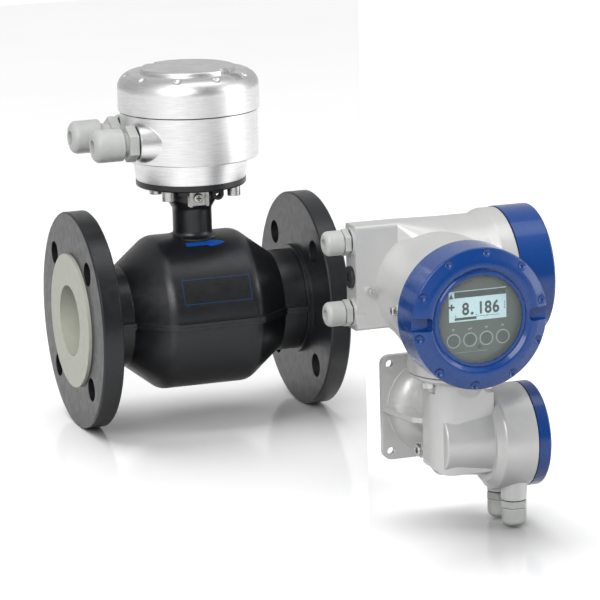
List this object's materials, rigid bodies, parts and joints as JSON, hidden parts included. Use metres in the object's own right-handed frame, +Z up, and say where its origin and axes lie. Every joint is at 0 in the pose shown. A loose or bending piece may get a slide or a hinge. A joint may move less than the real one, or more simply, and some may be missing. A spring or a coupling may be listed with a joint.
{
  "type": "electromagnetic flow meter",
  "caption": "Electromagnetic flow meter: a flanged, lined flow tube with a terminal box on its neck, and a wall-mounted signal converter with a swivelling display head.",
  "frame": {"origin": "on the axis of the flow bore, midway between the two flange faces", "axes": "+X along the flow, from the inlet flange to the outlet flange; +Z up through the neck to the terminal box; -Y towards the side that the display faces"},
  "size_m": [0.3012, 0.3629, 0.3274],
  "materials": {
    "black_paint": "satin black coating",
    "liner": "smooth off-white hard rubber",
    "steel": "turned stainless steel",
    "magnet_iron": "plain",
    "coil_winding": "enamelled copper wire",
    "cast_aluminium": "bare die casting, lightly grained",
    "nylon": "light grey nylon",
    "rubber": "matt black",
    "plug_plastic": "black",
    "grey_coat": "fine light grey powder coat",
    "blue_coat": "glossy blue coat",
    "window_glass": "clear",
    "faceplate": "satin grey-green",
    "lcd": "smooth",
    "key_lens": "smooth dark lens",
    "terminal_plastic": "plain"
  },
  "bodies": {
    "sensor_and_base": {"measuring_tube": "steel", "liner": "liner", "inlet_flange": "black_paint", "outlet_flange": "black_paint", "upper_half_shell": "black_paint", "lower_half_shell": "black_paint", "upper_field_coil": "coil_winding", "lower_field_coil": "coil_winding", "upper_pole_shoe": "magnet_iron", "lower_pole_shoe": "magnet_iron", "front_electrode": "steel", "rear_electrode": "steel", "sensor_neck": "black_paint", "mounting_ring": "black_paint", "mounting_ring_screws": "steel", "ground_clamp": "steel", "ground_screw": "steel", "connection_box": "cast_aluminium", "box_terminal_block": "terminal_plastic", "box_gland_seals": "rubber", "front_box_gland_body": "nylon", "rear_box_gland_body": "nylon", "base_housing": "grey_coat", "swivel_seal": "rubber", "swivel_screws": "steel", "base_terminal_block": "terminal_plastic", "base_gland_seals": "rubber", "front_base_gland_body": "nylon", "rear_base_gland_body": "nylon", "base_plug_screw": "steel"},
    "head": {"head_housing": "grey_coat", "display_faceplate": "faceplate", "display_lcd": "lcd", "optical_keys": "key_lens", "display_electronics": "faceplate", "head_terminal_block": "terminal_plastic", "head_gland_seals": "rubber", "upper_head_gland_body": "nylon", "lower_head_gland_body": "nylon", "head_blanking_plug": "plug_plastic", "head_ground_screw": "steel", "cover_lock_screw": "steel"},
    "box_lid_seal": {"box_lid_seal": "rubber"},
    "box_lid": {"box_lid": "cast_aluminium"},
    "display_cover_seal": {"display_cover_seal": "rubber"},
    "display_cover": {"display_cover": "blue_coat", "display_window": "window_glass"},
    "side_cover_seal": {"side_cover_seal": "rubber"},
    "side_cover": {"side_cover": "blue_coat"},
    "base_cover_seal": {"base_cover_seal": "rubber"},
    "base_cover": {"base_cover": "blue_coat"},
    "front_box_cap": {"front_box_gland_cap": "nylon"},
    "rear_box_cap": {"rear_box_gland_cap": "nylon"},
    "upper_head_cap": {"upper_head_gland_cap": "nylon"},
    "lower_head_cap": {"lower_head_gland_cap": "nylon"},
    "front_base_cap": {"front_base_gland_cap": "nylon"},
    "rear_base_cap": {"rear_base_gland_cap": "nylon"}
  },
  "joints": [
    {"name": "head_swivel", "type": "hinge", "parent": "sensor_and_base", "child": "head", "pos_m": [0.141, -0.19, -0.0205], "axis": [0, 0, 1], "range_deg": [-90, 90]},
    {"name": "box_lid_travel", "type": "slide", "parent": "sensor_and_base", "child": "box_lid_seal", "axis": [0, 0, 1], "range_m": [0, 0.0091]},
    {"name": "box_lid_turn", "type": "hinge", "parent": "box_lid_seal", "child": "box_lid", "pos_m": [0, 0, 0.1551], "axis": [0, 0, 1], "range_deg": [0, 1620]},
    {"name": "display_cover_travel", "type": "slide", "parent": "head", "child": "display_cover_seal", "axis": [0, -1, 0], "range_m": [0, 0.0091]},
    {"name": "display_cover_turn", "type": "hinge", "parent": "display_cover_seal", "child": "display_cover", "pos_m": [0.1226, -0.247, 0.0366], "axis": [0, -1, 0], "range_deg": [0, 1620]},
    {"name": "side_cover_travel", "type": "slide", "parent": "head", "child": "side_cover_seal", "axis": [1, 0, 0], "range_m": [0, 0.0091]},
    {"name": "side_cover_turn", "type": "hinge", "parent": "side_cover_seal", "child": "side_cover", "pos_m": [0.1713, -0.19, 0.0495], "axis": [1, 0, 0], "range_deg": [0, 1620]},
    {"name": "base_cover_travel", "type": "slide", "parent": "sensor_and_base", "child": "base_cover_seal", "axis": [1, 0, 0], "range_m": [0, 0.0091]},
    {"name": "base_cover_turn", "type": "hinge", "parent": "base_cover_seal", "child": "base_cover", "pos_m": [0.1873, -0.19, -0.075], "axis": [1, 0, 0], "range_deg": [0, 1620]},
    {"name": "front_box_cap_turn", "type": "hinge", "parent": "sensor_and_base", "child": "front_box_cap", "pos_m": [-0.0495, -0.023, 0.136], "axis": [-1, 0, 0], "range_deg": [0, 720]},
    {"name": "rear_box_cap_turn", "type": "hinge", "parent": "sensor_and_base", "child": "rear_box_cap", "pos_m": [-0.0495, 0.023, 0.136], "axis": [-1, 0, 0], "range_deg": [0, 720]},
    {"name": "upper_head_cap_turn", "type": "hinge", "parent": "head", "child": "upper_head_cap", "pos_m": [0.057, -0.19, 0.082], "axis": [-1, 0, 0], "range_deg": [0, 720]},
    {"name": "lower_head_cap_turn", "type": "hinge", "parent": "head", "child": "lower_head_cap", "pos_m": [0.057, -0.19, 0.03], "axis": [-1, 0, 0], "range_deg": [0, 720]},
    {"name": "front_base_cap_turn", "type": "hinge", "parent": "sensor_and_base", "child": "front_base_cap", "pos_m": [0.1775, -0.2035, -0.12], "axis": [0, 0, -1], "range_deg": [0, 720]},
    {"name": "rear_base_cap_turn", "type": "hinge", "parent": "sensor_and_base", "child": "rear_base_cap", "pos_m": [0.1775, -0.1765, -0.12], "axis": [0, 0, -1], "range_deg": [0, 720]}
  ],
  "couplings": [
    {"joint": "box_lid_travel", "follows": "box_lid_turn", "m_per_rad": 0.00031831},
    {"joint": "display_cover_travel", "follows": "display_cover_turn", "m_per_rad": 0.00031831},
    {"joint": "side_cover_travel", "follows": "side_cover_turn", "m_per_rad": 0.00031831},
    {"joint": "base_cover_travel", "follows": "base_cover_turn", "m_per_rad": 0.00031831}
  ]
}
